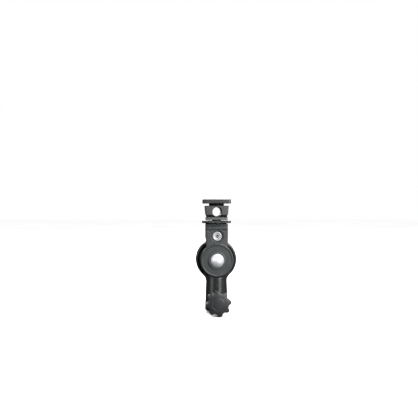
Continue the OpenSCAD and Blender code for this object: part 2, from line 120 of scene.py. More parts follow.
def to_row(points, centre, along):
    """Points whose third coordinate runs along an axis of the row, moved to the centre."""
    u, v, w = np.moveaxis(np.asarray(points, float), -1, 0)
    turned = {"x": (w, u, v), "y": (u, w, -v), "-y": (u, -w, v), "z": (u, v, w)}[along]
    return np.stack(turned, -1) + np.asarray(centre, float)


def piece(name, points, faces, body, material, stands_for=()):
    """A smooth-shaded mesh that rides a body and stands for CAD nodes."""
    mesh = bpy.data.meshes.new(name)
    mesh.from_pydata((np.asarray(points) * MM).tolist(), [], [list(f) for f in faces])
    mesh.validate()
    mesh.shade_smooth()
    mesh.materials.append(material)
    made = bpy.data.objects.new(name, mesh)
    bpy.context.scene.collection.objects.link(made)
    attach(made, body)
    if stands_for:
        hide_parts(*stands_for)
    return made


def grid_faces(rows, columns, closed_rows=False):
    """Faces of a grid of points whose columns go round and close."""
    last = rows if closed_rows else rows - 1
    faces = []
    for i in range(last):
        j = (i + 1) % rows
        for k in range(columns):
            n = (k + 1) % columns
            faces.append((i * columns + k, i * columns + n, j * columns + n, j * columns + k))
    return faces


def turned_piece(name, profile, centre, along, body, material, stands_for=(), sides=128,
                 radius=None):
    """Turns a profile of (radius, height) pairs, from the foot up. radius(angle, r, h) may shape
    it. A profile that ends on the axis closes there, and any other one is a ring."""
    profile = np.asarray(profile, float)
    angle = np.arange(sides) * 2 * math.pi / sides
    r, h = np.broadcast_to(profile[:, :1], (len(profile), sides)), profile[:, 1:]
    h = np.broadcast_to(h, r.shape)
    if radius:
        r = radius(angle[None, :], r, h)
    points = np.stack((r * np.cos(angle), r * np.sin(angle), h), -1).reshape(-1, 3)
    solid = profile[0][0] == 0
    if not solid:
        faces = grid_faces(len(profile), sides, closed_rows=True)
        return piece(name, to_row(points, centre, along), faces, body, material, stands_for)
    inner = points[sides:-sides]
    rows = len(profile) - 2
    foot, top = len(inner), len(inner) + 1
    points = np.concatenate((inner, [[0, 0, profile[0][1]], [0, 0, profile[-1][1]]]))
    faces = grid_faces(rows, sides)
    for k in range(sides):
        n = (k + 1) % sides
        faces.append((foot, n, k))
        faces.append((top, (rows - 1) * sides + k, (rows - 1) * sides + n))
    return piece(name, to_row(points, centre, along), faces, body, material, stands_for)


def rounded(points, bend, closed=False, steps=5):
    """A polyline with its corners turned into arcs of about the given radius."""
    points = [np.asarray(p, float) for p in points]
    made = []
    for i, here in enumerate(points):
        if not closed and i in (0, len(points) - 1):
            made.append(here)
            continue
        before, after = points[i - 1] - here, points[(i + 1) % len(points)] - here
        reach = min(bend, np.linalg.norm(before) * 0.35, np.linalg.norm(after) * 0.35)
        start = before / np.linalg.norm(before) * reach
        end = after / np.linalg.norm(after) * reach
        made.append(here + 1.3 * start)
        for t in np.linspace(0, 1, steps):
            made.append(here + (1 - t) ** 2 * start + t * t * end)
        made.append(here + 1.3 * end)
    return np.array(made)


# Signed distances: negative inside, in millimetres
def bevel(a, b, edge):
    """Both at once, with the edge between them rounded."""
    a, b = a + edge, b + edge
    return np.hypot(np.maximum(a, 0), np.maximum(b, 0)) + np.minimum(np.maximum(a, b), 0) - edge


def join(blend, a, b):
    """Union with a soft seam about as wide as blend."""
    share = np.clip(0.5 + 0.5 * (b - a) / blend, 0, 1)
    return b * (1 - share) + a * share - blend * share * (1 - share)


def cut(blend, a, b):
    """What is left of a outside b, with a soft edge about as wide as blend."""
    return -join(blend, -a, b)


def span(a, lo, hi):
    """Distance to the slab between two heights."""
    return np.abs(a - (lo + hi) / 2) - (hi - lo) / 2


def disc(radial, along, r, lo, hi, edge=0.0):
    """Cylinder between two heights, given the distance from its axis and along it."""
    return bevel(radial - r, span(along, lo, hi), edge)


def ring(radial, along, r_in, r_out, lo, hi, edge=0.0):
    """Tube between two radii and two heights."""
    return bevel(span(radial, r_in, r_out), span(along, lo, hi), edge)


def slab(x, y, half_x, half_y, corner):
    """Outline of a rectangle with round corners."""
    u, v = np.abs(x) - half_x + corner, np.abs(y) - half_y + corner
    return np.hypot(np.maximum(u, 0), np.maximum(v, 0)) + np.minimum(np.maximum(u, v), 0) - corner


def brick(x, y, z, lo, hi, edge):
    """Box between two corners, with round edges."""
    sides = [span(a, lo[i], hi[i]) + edge for i, a in enumerate((x, y, z))]
    out = np.sqrt(sum(np.maximum(s, 0) ** 2 for s in sides))
    return out + np.minimum(np.maximum(np.maximum(sides[0], sides[1]), sides[2]), 0) - edge


def hexagon(u, v, flats, depth_side):
    """Socket of a hex key, given its width across flats and the distance past its floor."""
    across = np.maximum(np.abs(u), np.abs(u) / 2 + np.abs(v) * math.sqrt(3) / 2) - flats / 2
    return np.maximum(across, depth_side)


def walls(values, axis, near, cell, low):
    """Where the surface crosses the grid's lines along an axis, and the cells around each."""
    step = [slice(None)] * 3
    step[axis] = slice(0, -1)
    a = values[tuple(step)]
    step[axis] = slice(1, None)
    b = values[tuple(step)]
    at = np.argwhere((a < 0) != (b < 0))
    first, second = a[tuple(at.T)], b[tuple(at.T)]
    place = at.astype(float)
    place[:, axis] += first / (first - second)
    u, w = (axis + 1) % 3, (axis + 2) % 3
    cells = []
    for du, dw in ((-1, -1), (0, -1), (0, 0), (-1, 0)):
        beside = at.copy()
        beside[:, u] += du
        beside[:, w] += dw
        cells.append((beside[:, 0] * near[1] + beside[:, 1]) * near[2] + beside[:, 2])
    cells = np.stack(cells, 1)
    cells[first > 0] = cells[first > 0][:, ::-1]
    return place * cell + low, cells


def shaped_piece(name, shape, lo, hi, body, material, stands_for=(), cell=0.4):
    """Meshes a signed distance: one point in each cell that the surface crosses, moved onto it."""
    low = np.asarray(lo, float) - 2.2 * cell
    count = np.ceil((np.asarray(hi, float) - low) / cell).astype(int) + 3
    lines = [low[i] + cell * np.arange(count[i]) for i in range(3)]
    values = shape(*np.meshgrid(*lines, indexing="ij", sparse=True))
    values = np.ascontiguousarray(np.broadcast_to(values, count))
    found = [walls(values, axis, count, cell, low) for axis in range(3)]
    cells = np.concatenate([c for _, c in found])
    places = np.concatenate([p for p, _ in found])
    used, where = np.unique(cells.ravel(), return_inverse=True)
    times = np.bincount(where)
    points = np.stack([np.bincount(where, np.repeat(places[:, i], 4)) / times
                       for i in range(3)], 1)
    reach = 0.02
    for _ in range(4):
        here = shape(*points.T)
        slope = np.stack([(shape(*(points + off).T) - shape(*(points - off).T)) / (2 * reach)
                          for off in np.eye(3) * reach], 1)
        steep = np.maximum((slope ** 2).sum(1), 0.2)
        step = slope * (here / steep)[:, None]
        far = np.linalg.norm(step, axis=1)[:, None]
        points = points - step * np.minimum(1, 0.5 * cell / np.maximum(far, 1e-9))
    return piece(name, points, where.reshape(-1, 4), body, material, stands_for)


# ---------- materials ----------

def linear(*srgb):
    """Scene colour of an 8-bit screen colour."""
    part = [c / 255 for c in srgb]
    return tuple(p / 12.92 if p < 0.04045 else ((p + 0.055) / 1.055) ** 2.4 for p in part) + (1,)


# Sockets of the Mix node when it mixes colours
COLOUR_A, COLOUR_B, MIXED_COLOUR = 6, 7, 2
# Painted shade: how far the ambient occlusion mask reaches, in millimetres, and how dark it makes
# the base colour
PAINTED_SHADE_REACH = 2.0
PAINTED_RECESS_SHADE = 0.15


class Finish:
    """A procedural material built round one Principled shader."""

    def __init__(self, name, roughness, metallic=0.0, specular=0.5):
        self.material = bpy.data.materials.new(name)
        self.material.use_nodes = True
        self.tree = self.material.node_tree
        self.shader = self.tree.nodes["Principled BSDF"]
        self.set("Roughness", roughness)
        self.set("Metallic", metallic)
        self.set("Specular IOR Level", specular)
        self.coordinates = self.add("ShaderNodeTexCoord").outputs["Object"]
        self.normal = None

    def set(self, socket, value):
        self.shader.inputs[socket].default_value = value

    def add(self, kind, **values):
        node = self.tree.nodes.new(kind)
        for key, value in values.items():
            setattr(node, key, value)
        return node

    def link(self, source, target):
        self.tree.links.new(source, target)

    def noise(self, size, detail=3.0, stretch=(1, 1, 1), rough=0.55):
        """Noise whose features are about size millimetres across."""
        mapped = self.add("ShaderNodeMapping")
        mapped.inputs["Scale"].default_value = stretch
        self.link(self.coordinates, mapped.inputs["Vector"])
        made = self.add("ShaderNodeTexNoise")
        made.inputs["Scale"].default_value = 1 / (size * MM)
        made.inputs["Detail"].default_value = detail
        made.inputs["Roughness"].default_value = rough
        self.link(mapped.outputs["Vector"], made.inputs["Vector"])
        return made.outputs["Fac"]

    def ramp(self, source, low, high, from_low=0.3, from_high=0.7):
        """Stretches a value so that from_low and from_high become low and high."""
        made = self.add("ShaderNodeMapRange")
        made.inputs["From Min"].default_value = from_low
        made.inputs["From Max"].default_value = from_high
        made.inputs["To Min"].default_value = low
        made.inputs["To Max"].default_value = high
        self.link(source, made.inputs["Value"])
        return made.outputs["Result"]

    def mix(self, factor, a, b):
        """Colour between a and b, each a colour or a socket."""
        made = self.add("ShaderNodeMix", data_type="RGBA")
        self.link(factor, made.inputs["Factor"])
        for value, socket in ((a, made.inputs[COLOUR_A]), (b, made.inputs[COLOUR_B])):
            if isinstance(value, tuple):
                socket.default_value = value
            else:
                self.link(value, socket)
        return made.outputs[MIXED_COLOUR]

    def colour(self, source):
        """Base colour with painted shade: an ambient occlusion mask makes it darker in grooves,
        corners and narrow gaps.
        """
        # Painted shade, where ambient occlusion darkens the base colour
        shade = self.add("ShaderNodeAmbientOcclusion", samples=8)
        shade.inputs["Distance"].default_value = PAINTED_SHADE_REACH * MM
        dark = self.add("ShaderNodeMix", data_type="RGBA", blend_type="MULTIPLY")
        dark.inputs["Factor"].default_value = 1
        dark.inputs[COLOUR_B].default_value = (PAINTED_RECESS_SHADE, PAINTED_RECESS_SHADE, PAINTED_RECESS_SHADE, 1)
        self.link(source, dark.inputs[COLOUR_A])
        shut = self.ramp(shade.outputs["AO"], 0, 1, 0.25, 0.85)
        shaded = self.mix(shut, dark.outputs[MIXED_COLOUR], source)
        self.link(shaded, self.shader.inputs["Base Color"])

    def vary_roughness(self, source, low, high):
        self.link(self.ramp(source, low, high), self.shader.inputs["Roughness"])

    def bump(self, source, strength, distance=0.1):
        """Bump on top of any earlier one; distance is in millimetres."""
        made = self.add("ShaderNodeBump")
        made.inputs["Strength"].default_value = strength
        made.inputs["Distance"].default_value = distance * MM
        self.link(source, made.inputs["Height"])
        if self.normal:
            self.link(self.normal, made.inputs["Normal"])
        self.normal = made.outputs["Normal"]
        self.link(self.normal, self.shader.inputs["Normal"])


def powder_coat(name, dark, light, worn, roughness, grain=0.35, depth=0.35, **shader):
    """Sprayed coat over a casting: orange peel, faint mottling and pale specks."""
    made = Finish(name, roughness, **shader)
    mottle = made.ramp(made.noise(6.0, 4), 0, 1)
    coat = made.mix(mottle, linear(*dark), linear(*light))
    specks = made.ramp(made.noise(0.3, 2), 0, 0.35, 0.55, 0.75)
    coat = made.mix(specks, coat, linear(*worn))
    made.colour(coat)
    made.vary_roughness(made.noise(2.5, 3), roughness - 0.05, roughness + 0.07)
    made.bump(made.noise(grain, 2), depth)
    made.bump(made.noise(1.6, 2), depth * 0.6, 0.2)
    return made.material


def anodised(name, dark, light, worn, roughness, lines=(1, 1, 30), **shader):
    """Machined aluminium, anodised: fine tool lines and paler, rubbed patches."""
    made = Finish(name, roughness, **shader)
    streaks = made.noise(1.2, 5, lines)
    tone = made.mix(made.ramp(streaks, 0, 1), linear(*dark), linear(*light))
    rubbed = made.ramp(made.noise(1.4, 5, rough=0.7), 0, 0.5, 0.6, 0.8)
    tone = made.mix(rubbed, tone, linear(*worn))
    made.colour(tone)
    made.vary_roughness(streaks, roughness - 0.06, roughness + 0.08)
    made.bump(streaks, 0.25, 0.05)
    made.bump(made.noise(0.12, 1), 0.15, 0.03)
    return made.material


def moulded(name, dark, light, roughness, grain=0.28, depth=0.3, **shader):
    """Moulded plastic: an etched grain and slight flow marks."""
    made = Finish(name, roughness, **shader)
    flow = made.noise(9.0, 3, (1, 1, 0.4))
    made.colour(made.mix(made.ramp(flow, 0, 1), linear(*dark), linear(*light)))
    made.vary_roughness(made.noise(1.2, 4), roughness - 0.06, roughness + 0.08)
    cells = made.add("ShaderNodeTexVoronoi")
    cells.inputs["Scale"].default_value = 1 / (grain * MM)
    made.link(made.coordinates, cells.inputs["Vector"])
    made.bump(cells.outputs["Distance"], depth, 0.05)
    made.bump(made.noise(0.9, 3), depth * 0.5, 0.06)
    return made.material


def bare_metal(name, dark, light, roughness, lines=(1, 1, 1), scratch=0.12, stain=None,
               metallic=1.0):
    """Plain or plated metal with hairline scratches and a breath of handling marks."""
    made = Finish(name, roughness, metallic=metallic)
    marks = made.noise(5.0, 5, rough=0.7)
    tone = made.mix(made.ramp(marks, 0, 1), linear(*dark), linear(*light))
    if stain:
        tone = made.mix(made.ramp(made.noise(2.2, 4), 0, 0.6, 0.55, 0.8), tone, linear(*stain))
    made.colour(tone)
    hairs = made.noise(0.5, 6, lines, 0.7)
    made.vary_roughness(hairs, roughness * 0.75, roughness * 1.5)
    made.bump(hairs, scratch, 0.02)
    return made.material


BLACK_CAST = powder_coat("black_casting", (15, 16, 16), (21, 22, 22), (34, 35, 35), 0.32,
                         specular=0.26)
GREY_CAST = powder_coat("grey_casting", (28, 30, 31), (36, 38, 39), (56, 58, 59), 0.5,
                        grain=0.3, depth=0.45, specular=0.2)
BLACK_ANODISED = anodised("black_anodised", (34, 34, 35), (50, 50, 51), (66, 66, 66), 0.42,
                          metallic=0.35, specular=0.3)
SHOE_BLACK = anodised("shoe_anodised", (24, 24, 25), (36, 36, 37), (54, 54, 54), 0.42,
                      metallic=0.35, specular=0.3)
WHEEL_BLACK = anodised("wheel_anodised", (11, 11, 12), (19, 19, 20), (46, 46, 46), 0.42,
                       metallic=0.2, specular=0.3)
BAND_GREY = anodised("plate_anodised", (48, 49, 50), (62, 63, 64), (82, 82, 82), 0.4,
                     metallic=0.5)
MOULDED = moulded("moulded_black", (17, 18, 19), (27, 28, 29), 0.42, specular=0.3)
POLISHED = bare_metal("polished_steel", (142, 145, 148), (162, 164, 167), 0.4)
DOME_STEEL = bare_metal("dome_steel", (148, 151, 154), (170, 172, 175), 0.46, metallic=0.62)
LOCK_STEEL = bare_metal("lock_steel", (112, 113, 115), (130, 131, 133), 0.5, metallic=0.74)
ZINC = bare_metal("zinc_steel", (150, 153, 156), (186, 188, 190), 0.34, stain=(150, 140, 120))
OXIDE = bare_metal("dark_steel", (34, 34, 36), (58, 58, 60), 0.36, scratch=0.2,
                   stain=(80, 66, 54))
BRASS = bare_metal("brass", (176, 140, 80), (206, 172, 108), 0.3, lines=(1, 12, 1),
                   stain=(130, 92, 54))
NYLON = moulded("nylon", (196, 194, 184), (214, 212, 202), 0.5, depth=0.15)
RUBBER = moulded("black_rubber", (3, 3, 3), (6, 6, 6), 0.8, grain=0.2, specular=0.08)
WASHER_GREY = anodised("washer_grey", (40, 42, 43), (54, 56, 57), (80, 82, 83), 0.42,
                       metallic=0.3, specular=0.3)
FIBRE = moulded("friction_fibre", (62, 50, 38), (96, 80, 60), 0.85, grain=0.15, depth=0.6)


# ---------- base casting ----------

MOUTH_R = 12.1
NECK_R = 10.9
NECK_TAPER_TOP = 34
NECK_TOP = PIVOT_Z - 6
SOCKET_R = 8.25
SOCKET_DEPTH = 32
KNOB_BOSS_R = 7.4
KNOB_BOSS_IN = -5
CHEEK_BOSS_R = 11.5
SWING_GAP = 0.8
# The front groove starts at this y, and hollows the top of the neck on its way to the cheek
FRONT_GROOVE_START = -5
FRONT_GROOVE_R, FRONT_GROOVE_DEPTH = (16.9, 19.1), 1.6
BACK_GROOVE_R, BACK_GROOVE_DEPTH = (12.8, 18.6), 1.3


def base_shape(x, y, z):
    from_pivot = np.hypot(x, z - PIVOT_Z)
    from_knob = np.hypot(x, z - KNOB_Z)
    round_neck = np.hypot(x, y)
    neck_r = np.interp(z, (0, NECK_TAPER_TOP), (MOUTH_R, NECK_R))
    made = bevel(round_neck - neck_r, span(z, 0, NECK_TOP), 1.8)
    made = join(4.5, made, disc(from_pivot, y, CHEEK_R, CHEEK_FRONT, CHEEK_BACK, 1.6))
    made = join(2.6, made, disc(from_knob, y, KNOB_BOSS_R, BASE_LO[1], KNOB_BOSS_IN, 0.7))
    made = join(0.8, made, disc(from_pivot, y, CHEEK_BOSS_R, CHEEK_BACK - 2, BASE_HI[1], 0.3))
    made = np.maximum(made, BASE_LO[1] - y)
    swing = disc(from_pivot, y, DISC_R + SWING_GAP, -FAR, CHEEK_FRONT - BORE_GAP, 0.2)
    made = cut(0.6, made, swing)
    groove = ring(from_pivot, y, *FRONT_GROOVE_R, FRONT_GROOVE_START,
                  CHEEK_FRONT + FRONT_GROOVE_DEPTH, 0.3)
    made = cut(0.5, made, groove)
    groove = ring(from_pivot, y, *BACK_GROOVE_R, CHEEK_BACK - BACK_GROOVE_DEPTH, FAR, 0.3)
    made = cut(0.5, made, groove)
    made = cut(0.5, made, disc(round_neck, z, SOCKET_R, -FAR, SOCKET_DEPTH, 0.2))
    made = cut(0.2, made, disc(from_pivot, y, BUSH_R, -FAR, FAR))
    made = cut(0.2, made, disc(from_knob, y, SHANK_R + 0.2, -FAR, 0))
    return cut(0.2, made, disc(from_knob, y, INSERT_HI[0], -FAR, INSERT_HI[1]))


shaped_piece("base_body", base_shape, BASE_LO, BASE_HI, "base", BLACK_CAST,
             ["base_casting"], cell=0.36)


# ---------- arm ----------

BLOCK_FRONT = LOCK_LO[1] - 0.1
SHOULDER = CHEEK_R + 0.7
ARM_TOP = ARM_HI[2] - PIVOT_Z
ARM_HALF = 11.25
ARM_BACK = -0.6
ARM_GROOVES = ((31.3, 1.3, 0.7), (35.2, 0.6, 0.35))
ARM_EDGE = 0.7
DISC_LIP = 1.7
SQUARE_HALF = 4.05
SQUARE_END = WASHER_HI[1] + 4
LOCK_ROOM_R, LOCK_ROOM_DEPTH = 6.4, 0.9
LOCK_HOLE_END = -3.8


def arm_shape(x, y, z):
    h = z - PIVOT_Z
    from_pivot = np.hypot(x, h)
    from_lock = np.hypot(x, z - LOCK_Z)
    front = brick(x, y, h, (-ARM_HALF, BLOCK_FRONT, 0), (ARM_HALF, 3, ARM_TOP), ARM_EDGE)
    rear = brick(x, y, h, (-ARM_HALF, -3, SHOULDER), (ARM_HALF, ARM_HI[1], ARM_TOP), ARM_EDGE)
    made = np.minimum(front, rear)
    made = join(0.9, made, disc(from_pivot, y, DISC_R, ARM_LO[1], 2, ARM_EDGE))
    made = cut(0.4, made, np.maximum(ARM_BACK - y, h - SHOULDER))
    made = cut(0.5, made, disc(from_pivot, y, DISC_R - DISC_LIP, -FAR, WASHER_HI[1], 0.2))
    for height, width, depth in ARM_GROOVES:
        face = np.minimum(y - BLOCK_FRONT - depth, ARM_HI[1] - depth - y)
        made = cut(0.3, made, np.maximum(span(h, height - width / 2, height + width / 2), face))
    made = cut(0.2, made, disc(from_pivot, y, SHANK_R + BORE_GAP, -FAR, FAR))
    square = (-SQUARE_HALF, -FAR, -SQUARE_HALF), (SQUARE_HALF, SQUARE_END, SQUARE_HALF)
    made = cut(0.1, made, brick(x, y, h, *square, 0.0))
    made = cut(0.3, made, disc(np.hypot(x, y), h, TAPPED_R, STUD_LO[2] - PIVOT_Z - 0.1, FAR))
    room = disc(from_lock, y, LOCK_ROOM_R, -FAR, BLOCK_FRONT + LOCK_ROOM_DEPTH, 0.2)
    made = cut(0.4, made, room)
    return cut(0.3, made, disc(from_lock, y, TAPPED_R, -FAR, LOCK_HOLE_END))


shaped_piece("arm_body", arm_shape, ARM_LO, ARM_HI, "arm", GREY_CAST,
             ["tilt_arm"])


# ---------- tilt joint ----------

def dome(head_r, top, rise):
    """Profile of a spherical cap from its top at the axis down to its rim."""
    dome_r = (head_r ** 2 + rise ** 2) / (2 * rise)
    angle = np.linspace(0, math.asin(head_r / dome_r), 28)
    return np.stack((dome_r * np.sin(angle), top + dome_r * (1 - np.cos(angle))), 1)


def helix(crest, depth, pitch, lo, hi):
    """Shapes a V thread on whatever lies at the crest's radius between two heights."""
    def radius(angle, r, h):
        turn = (h / pitch - angle / (2 * math.pi)) % 1
        valley = np.clip(1.35 * (1 - np.abs(2 * turn - 1)) - 0.25, 0, 1)
        ends = np.clip((h - lo) / pitch, 0, 1) * np.clip((hi - h) / pitch, 0, 1)
        return r - depth * valley * ends * (r > crest - 0.02)
    return radius


def rows(r, lo, hi, pitch):
    """A straight stretch of profile, fine enough for a thread."""
    height = np.arange(lo, hi, pitch / 10)
    return np.stack((np.full(len(height), r), height), 1)


THREAD_DEPTH = 0.6
THREAD_PITCH = 1.25
BOLT_R = BOLT_HI[0]
BOLT_SEAT = WASHER_LO[1]
BOLT_THREAD = BOLT_HI[1] - 11.25
DOME_RISE = 3.4
bolt = np.concatenate((
    dome(BOLT_R - 0.25, BOLT_LO[1], DOME_RISE)[:-1],
    rounded([(BOLT_R - 0.25, BOLT_LO[1] + DOME_RISE), (BOLT_R, BOLT_LO[1] + 3.75),
             (BOLT_R, BOLT_SEAT), (SHANK_R, BOLT_SEAT), (SHANK_R, BOLT_THREAD)], 0.25),
    rows(SHANK_R, BOLT_THREAD + 0.1, BOLT_HI[1] - 0.5, THREAD_PITCH),
    rounded([(SHANK_R, BOLT_HI[1] - 0.5), (SHANK_R - 0.5, BOLT_HI[1]), (0, BOLT_HI[1])], 0.1)))
turned_piece("bolt", bolt, (0, 0, PIVOT_Z), "y", "arm", DOME_STEEL,
             ["pivot_bolt"],
             radius=helix(SHANK_R, THREAD_DEPTH, THREAD_PITCH, BOLT_THREAD, BOLT_HI[1]))


def washer(name, node, r_in, body, material, along="y", edge=0.25):
    """Flat ring with rounded edges that fills a node's box."""
    lo, hi = corners(node)
    axis = "xyz".index(along)
    r_out = hi[0]
    centre = (0, 0, PIVOT_Z) if along == "y" else (0, 0, 0)
    outline = [(r_in, lo[axis]), (r_out, lo[axis]), (r_out, hi[axis]), (r_in, hi[axis])]
    turned_piece(name, rounded(outline, edge, closed=True), centre, along, body, material,
                 [node])


washer("bolt_washer", "pivot_washer", 4.15, "arm", WASHER_GREY, edge=0.35)
washer("bush", "pivot_bush", SHANK_R + BORE_GAP, "base", NYLON)
washer("friction_ring", "friction_disc", 4.6, "base", FIBRE, edge=0.15)
washer("thrust_ring", "thrust_washer", 4.3, "base", ZINC)

CONE_LO, CONE_HI = corners("spring_washer")
CONE_SHEET = 0.8
cone = [(CONE_HI[0], CONE_LO[1]), (CONE_HI[0], CONE_LO[1] + CONE_SHEET),
        (SHANK_R + 0.25, CONE_HI[1]), (SHANK_R + 0.25, CONE_HI[1] - CONE_SHEET)]
turned_piece("disc_spring", rounded(cone, 0.2, closed=True), (0, 0, PIVOT_Z), "y", "arm",
             OXIDE, ["spring_washer"])


# ---------- stand clamp ----------

KNOB_R = 13.0
LOBES = 8
LOBE_R = 2.9
LOBE_TURN = 7
WAIST_R = KNOB_R * 0.83
GAP_R = 3.1
GAP_OUT = 2.9
KNOB_HUB_R, KNOB_HUB_H = 7, 1.2
KNOB_CROWN = 0.008
KNOB_BACK = KNOB_HI[1] - KNOB_HUB_H
CAP_LINE_R, CAP_LINE_DEPTH = (5.9, 6.25), 0.22
SCREW_HEAD_R, SCREW_HEAD_L = 5.2, 5.5


def fold(angle, count, turn):
    """Angle from the nearest of a ring of evenly spaced places, in radians."""
    share = 2 * math.pi / count
    return (angle - math.radians(turn) + share / 2) % share - share / 2


def knob_shape(x, y, z):
    h = z - KNOB_Z
    r, angle = np.hypot(x, h), np.arctan2(h, x)
    at_lobe = fold(angle, LOBES, LOBE_TURN)
    at_gap = fold(angle, LOBES, LOBE_TURN + 180 / LOBES)
    lobe = np.hypot(r * np.cos(at_lobe) - KNOB_R + LOBE_R, r * np.sin(at_lobe)) - LOBE_R
    gap = np.hypot(r * np.cos(at_gap) - WAIST_R - GAP_OUT, r * np.sin(at_gap)) - GAP_R
    outline = cut(0.5, join(1.2, r - WAIST_R, lobe), gap)
    front = KNOB_LO[1] + KNOB_CROWN * r * r
    made = bevel(outline, span(y, front, KNOB_BACK), 1.2)
    made = join(0.5, made, disc(r, y, KNOB_HUB_R, KNOB_BACK - 1, KNOB_HI[1], 0.3))
    made = cut(0.3, made, ring(r, y, *CAP_LINE_R, -FAR, front + CAP_LINE_DEPTH))
    made = cut(0.2, made, disc(r, y, SCREW_HEAD_R, STAND_LO[1], STAND_LO[1] + SCREW_HEAD_L))
    return cut(0.2, made, disc(r, y, SHANK_R, STAND_LO[1], 0))


shaped_piece("star_knob_body", knob_shape, KNOB_LO, KNOB_HI, "stand_clamp_knob",
             MOULDED, ["star_knob"], cell=0.3)

# Heights run from the screw's tip towards the knob.
TIP_POCKET = (1.5, 2.4)
screw_l = STAND_HI[1] - STAND_LO[1]
STAND_THREAD = screw_l - SCREW_HEAD_L
screw = np.concatenate((
    rounded([(0, TIP_POCKET[1]), TIP_POCKET, (TIP_POCKET[0], 0), (SHANK_R - 0.5, 0),
             (SHANK_R, 0.5)], 0.15),
    rows(SHANK_R, 0.6, STAND_THREAD, THREAD_PITCH),
    rounded([(SHANK_R, STAND_THREAD), (SCREW_HEAD_R, STAND_THREAD), (SCREW_HEAD_R, screw_l),
             (0, screw_l)], 0.3)))
turned_piece("clamp_screw", screw, (0, STAND_HI[1], KNOB_Z), "-y", "stand_clamp_knob",
             ZINC, ["stand_screw"],
             radius=helix(SHANK_R, THREAD_DEPTH, THREAD_PITCH, 0, STAND_THREAD))

TIP_LO, TIP_HI = corners("stand_pad")
TIP_PEG_R = 1.4
TIP_DISC = TIP_HI[1] - 1.2
tip = [(0, TIP_LO[1]), (TIP_PEG_R, TIP_LO[1]), (TIP_PEG_R, TIP_DISC), (TIP_HI[0], TIP_DISC),
       (TIP_HI[0], TIP_HI[1]), (0, TIP_HI[1])]
turned_piece("clamp_pad", rounded(tip, 0.25), (0, 0, KNOB_Z), "y", "stand_clamp_pad",
             BRASS, ["stand_pad"])

INSERT_R = INSERT_HI[0]
sleeve = [(SHANK_R + BORE_GAP, INSERT_LO[1]), (INSERT_R, INSERT_LO[1]),
          (INSERT_R, INSERT_HI[1]), (SHANK_R + BORE_GAP, INSERT_HI[1])]
turned_piece("thread_sleeve", rounded(sleeve, 0.25, closed=True), (0, 0, KNOB_Z), "y", "base",
             BRASS, ["knob_thread_insert"])


# ---------- lever ----------

NUT_TEETH = 20
TOOTH_MID = 5.3
TOOTH_HALF = 0.3
TOOTH_GAP = 0.15
TEETH_END = NUT_LO[1] + 4
WEB_Y = NUT_HI[1] + BORE_GAP
WEB_T = 1.8
HUB_Y = LEVER_LO[1]
SPRING_GAP = 0.04
POCKET_DEPTH = 9.6
HUB_END = SPRING_LO[1] - SPRING_GAP + POCKET_DEPTH
POCKET_R = 5.1
NUT_ROOM_R = 5.05
KEEPER_ROOM_R = 2.9
LEVER_TIP = LEVER_LO[2]
LEVER_LINE_Z = PIVOT_Z + np.array([-43.8, -32, -20, -11, -2])
LEVER_LINE_Y = HUB_Y + np.array([19, 16.2, 13, 9.6, 7.2])
LEVER_HALF_X = np.array([6.2, 5.9, 5.6, 6.1, 6.8])
LEVER_HALF_Y = np.array([4.1, 4.05, 4.1, 5.2, 6.3])


def toothed(angle, r):
    return r - TOOTH_MID - TOOTH_HALF * np.cos(NUT_TEETH * angle)


def lever_shape(x, y, z):
    h = z - PIVOT_Z
    r, angle = np.hypot(x, h), np.arctan2(h, x)
    made = disc(r, y, LEVER_HI[0], HUB_Y, HUB_END, 1.1)
    middle = np.interp(z, LEVER_LINE_Z, LEVER_LINE_Y)
    half_x, half_y = (np.interp(z, LEVER_LINE_Z, half) for half in (LEVER_HALF_X, LEVER_HALF_Y))
    across = (np.hypot(x / half_x, (y - middle) / half_y) - 1) * half_y * 0.95
    handle = bevel(across, span(z, LEVER_TIP, PIVOT_Z - 1), 3.6)
    made = join(3.5, made, handle)
    made = bevel(made, HUB_Y - y, 0.5)
    made = np.maximum(made, y - LEVER_HI[1])
    teeth = np.maximum(toothed(angle, r) - TOOTH_GAP, y - TEETH_END - BORE_GAP)
    made = cut(0.1, made, teeth)
    made = cut(0.2, made, disc(r, y, NUT_ROOM_R, 0, WEB_Y))
    made = cut(0.2, made, disc(r, y, KEEPER_ROOM_R, 0, FAR))
    return cut(0.5, made, disc(r, y, POCKET_R, WEB_Y + WEB_T, FAR))


shaped_piece("lever_body", lever_shape, LEVER_LO, LEVER_HI, "lever", MOULDED,
             ["lever_handle"], cell=0.38)


NUT_BORE_END = NUT_LO[1] + 6
NUT_ROOT_R = 4.9
NUT_FLANGE = 0.8


def nut_shape(x, y, z):
    h = z - PIVOT_Z
    r, angle = np.hypot(x, h), np.arctan2(h, x)
    made = disc(r, y, NUT_HI[0], NUT_LO[1], NUT_LO[1] + NUT_FLANGE, 0.2)
    made = np.minimum(made, bevel(toothed(angle, r), span(y, NUT_LO[1], TEETH_END), 0.15))
    made = np.minimum(made, disc(r, y, NUT_ROOT_R, NUT_LO[1], NUT_HI[1], 0.3))
    made = cut(0.1, made, disc(r, y, SHANK_R + BORE_GAP, 0, NUT_BORE_END))
    return cut(0.1, made, disc(r, y, M5_R, NUT_BORE_END + 0.6, FAR))


shaped_piece("lever_nut_body", nut_shape, NUT_LO, NUT_HI, "lever_nut", ZINC,
             ["lever_insert"], cell=0.22)

KEEPER_LO, KEEPER_HI = corners("lever_screw")
KEEPER_HEAD = KEEPER_HI[1] - 2
SLOT_HALF, SLOT_DEPTH = 0.6, 0.9


def keeper_shape(x, y, z):
    h = z - PIVOT_Z
    r = np.hypot(x, h)
    made = disc(r, y, M5_R, KEEPER_LO[1], KEEPER_HI[1] - 1, 0.3)
    made = join(0.3, made, disc(r, y, KEEPER_HI[0], KEEPER_HEAD, KEEPER_HI[1], 0.55))
    slot = np.maximum(span(h, -SLOT_HALF, SLOT_HALF), KEEPER_HI[1] - SLOT_DEPTH - y)
    return cut(0.2, made, slot)


shaped_piece("lever_keeper", keeper_shape, KEEPER_LO, KEEPER_HI, "lever_nut",
             OXIDE, ["lever_screw"], cell=0.2)


